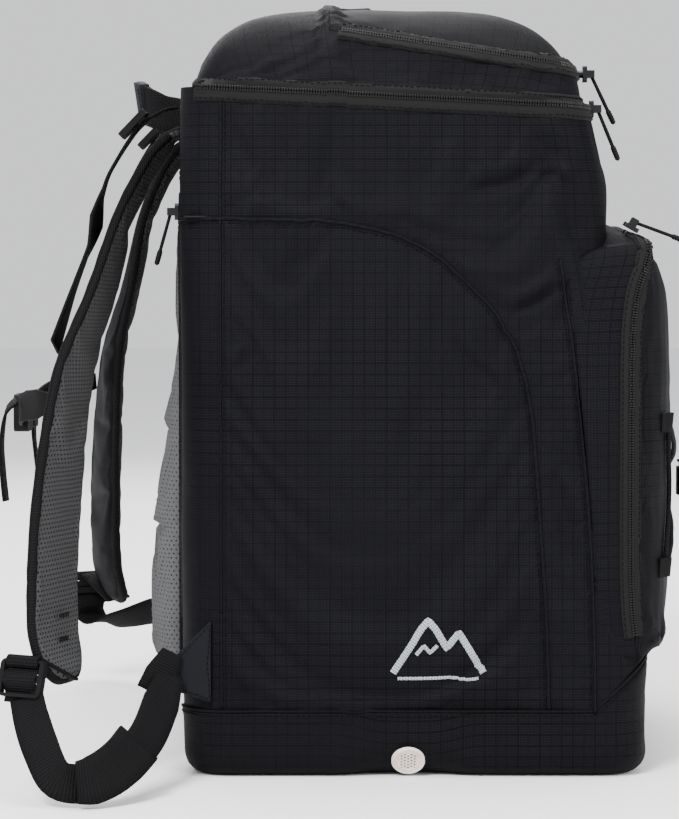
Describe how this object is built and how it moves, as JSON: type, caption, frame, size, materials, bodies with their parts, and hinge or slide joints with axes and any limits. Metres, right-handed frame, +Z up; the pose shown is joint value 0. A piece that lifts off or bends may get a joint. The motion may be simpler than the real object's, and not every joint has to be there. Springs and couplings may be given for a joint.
{
  "type": "ski boot backpack",
  "caption": "Black soft boot backpack that stands on its base, with a zipped lid and goggle pocket, zipped front pocket with shock cord, two boot compartments, haul handle and shoulder straps.",
  "frame": {"origin": "centre of the flat underside of the base", "axes": "+Z up, +X towards the front pocket, -X towards the back pad and shoulder straps, -Y the wearer's left"},
  "size_m": [0.48, 0.5653, 0.5158],
  "materials": {
    "ripstop": "matte",
    "lining": "matte",
    "air_mesh": "matte",
    "strap_mesh": "matte",
    "webbing": "matte",
    "zip_tape": "matte",
    "elastic": "matte",
    "acetal": "satin",
    "slider_metal": "satin",
    "eyelet": "satin",
    "board": "matte"
  },
  "bodies": {
    "bag": {"base_tub": "ripstop", "base_board": "board", "side_panel_left": "ripstop", "side_panel_right": "ripstop", "front_panel": "ripstop", "back_panel": "ripstop", "back_pad": "air_mesh", "yoke_panel": "ripstop", "boot_pod_left": "lining", "boot_pod_right": "lining", "boot_zip_left": "zip_tape", "boot_zip_right": "zip_tape", "drain_eyelets": "eyelet", "lid_zip_lower": "zip_tape", "front_gusset": "ripstop", "front_zip_inner": "zip_tape", "strap_anchor_left": "ripstop", "strap_anchor_right": "ripstop"},
    "lid": {"lid_shell": "ripstop", "lid_liner": "lining", "lid_zip_upper": "zip_tape", "top_zip_lower": "zip_tape"},
    "goggle_flap": {"top_flap": "ripstop", "top_zip_upper": "zip_tape"},
    "pocket_cover": {"front_cover": "ripstop", "front_zip_outer": "zip_tape", "shock_cord": "elastic", "cord_loops": "webbing", "cord_lock_body": "acetal"},
    "lock_button": {"cord_lock_button": "acetal"},
    "flap_left": {"boot_flap_left": "ripstop"},
    "flap_right": {"boot_flap_right": "ripstop"},
    "handle": {"haul_handle": "webbing", "haul_grip": "ripstop"},
    "strap_left": {"shoulder_pad_left": "strap_mesh", "lower_webbing_left": "webbing", "ladder_lock_left": "acetal", "lifter_webbing_left": "webbing", "lifter_buckle_left": "acetal"},
    "strap_right": {"shoulder_pad_right": "strap_mesh", "lower_webbing_right": "webbing", "ladder_lock_right": "acetal", "lifter_webbing_right": "webbing", "lifter_buckle_right": "acetal"},
    "sternum_left": {"sternum_webbing_left": "webbing", "sternum_buckle_female": "acetal"},
    "sternum_right": {"sternum_webbing_right": "webbing", "sternum_buckle_male": "acetal"},
    "lid_slider_b": {"lid_slider": "slider_metal"},
    "lid_pull_b": {"lid_pull": "acetal"},
    "top_slider_b": {"top_slider": "slider_metal"},
    "top_pull_b": {"top_pull": "acetal"},
    "front_slider_b": {"front_slider": "slider_metal"},
    "front_pull_b": {"front_pull": "acetal"},
    "boot_left_slider_b": {"boot_left_slider": "slider_metal"},
    "boot_left_pull_b": {"boot_left_pull": "acetal"},
    "boot_right_slider_b": {"boot_right_slider": "slider_metal"},
    "boot_right_pull_b": {"boot_right_pull": "acetal"}
  },
  "joints": [
    {"name": "lid_hinge", "type": "hinge", "parent": "bag", "child": "lid", "pos_m": [-0.151, 0, 0.452], "axis": [0, -1, 0], "range_deg": [0, 75]},
    {"name": "goggle_flap_hinge", "type": "hinge", "parent": "lid", "child": "goggle_flap", "pos_m": [-0.057, 0, 0.5152], "axis": [0, -1, 0], "range_deg": [0, 80]},
    {"name": "pocket_cover_hinge", "type": "hinge", "parent": "bag", "child": "pocket_cover", "pos_m": [0.1552, 0, 0.0786], "axis": [0, 1, 0], "range_deg": [0, 75]},
    {"name": "boot_flap_left_hinge", "type": "hinge", "parent": "bag", "child": "flap_left", "pos_m": [-0.0302, -0.18, 0.237], "axis": [0, 0, 1], "range_deg": [0, 100]},
    {"name": "boot_flap_right_hinge", "type": "hinge", "parent": "bag", "child": "flap_right", "pos_m": [-0.0302, 0.18, 0.237], "axis": [0, 0, -1], "range_deg": [0, 100]},
    {"name": "handle_swing", "type": "hinge", "parent": "bag", "child": "handle", "pos_m": [-0.1712, 0, 0.4405], "axis": [0, -1, 0], "range_deg": [0, 34]},
    {"name": "strap_left_swing", "type": "hinge", "parent": "bag", "child": "strap_left", "pos_m": [-0.158, -0.08, 0.436], "axis": [0.0039, 0.2778, 0.9606], "range_deg": [0, 22]},
    {"name": "strap_right_swing", "type": "hinge", "parent": "bag", "child": "strap_right", "pos_m": [-0.158, 0.08, 0.436], "axis": [-0.0039, 0.2778, -0.9606], "range_deg": [0, 22]},
    {"name": "sternum_left_swing", "type": "hinge", "parent": "strap_left", "child": "sternum_left", "pos_m": [-0.2375, -0.166, 0.246], "axis": [0, 0, 1], "range_deg": [-18, 80]},
    {"name": "sternum_right_swing", "type": "hinge", "parent": "strap_right", "child": "sternum_right", "pos_m": [-0.2375, 0.166, 0.246], "axis": [0, 0, -1], "range_deg": [-18, 80]},
    {"name": "cord_lock_press", "type": "slide", "parent": "pocket_cover", "child": "lock_button", "axis": [0, 0, -1], "range_m": [0, 0.003], "stiffness_N_per_m": 300},
    {"name": "lid_slider_travel", "type": "slide", "parent": "bag", "child": "lid_slider_b", "axis": [0, 1, 0], "range_m": [0, 0.28]},
    {"name": "top_slider_travel", "type": "slide", "parent": "lid", "child": "top_slider_b", "axis": [0, 1, 0], "range_m": [0, 0.236]},
    {"name": "front_slider_travel", "type": "slide", "parent": "bag", "child": "front_slider_b", "axis": [0, 1, 0], "range_m": [0, 0.292]},
    {"name": "boot_left_slider_travel", "type": "slide", "parent": "bag", "child": "boot_left_slider_b", "axis": [0, 0, -1], "range_m": [0, 0.255]},
    {"name": "boot_right_slider_travel", "type": "slide", "parent": "bag", "child": "boot_right_slider_b", "axis": [0, 0, -1], "range_m": [0, 0.255]},
    {"name": "lid_pull_swing", "type": "hinge", "parent": "lid_slider_b", "child": "lid_pull_b", "pos_m": [0.12037, -0.14, 0.43875], "axis": [0, -1, 0], "range_deg": [-6, 110]},
    {"name": "top_pull_swing", "type": "hinge", "parent": "top_slider_b", "child": "top_pull_b", "pos_m": [0.1177, -0.118, 0.463], "axis": [0, -1, 0], "range_deg": [-8, 110]},
    {"name": "front_pull_swing", "type": "hinge", "parent": "front_slider_b", "child": "front_pull_b", "pos_m": [0.1444, -0.146, 0.3641], "axis": [0, -1, 0], "range_deg": [-6, 110]},
    {"name": "boot_left_pull_swing", "type": "hinge", "parent": "boot_left_slider_b", "child": "boot_left_pull_b", "pos_m": [-0.1614, -0.143, 0.371], "axis": [0, 1, 0], "range_deg": [-10, 15]},
    {"name": "boot_right_pull_swing", "type": "hinge", "parent": "boot_right_slider_b", "child": "boot_right_pull_b", "pos_m": [-0.1614, 0.143, 0.371], "axis": [0, 1, 0], "range_deg": [-10, 15]}
  ]
}
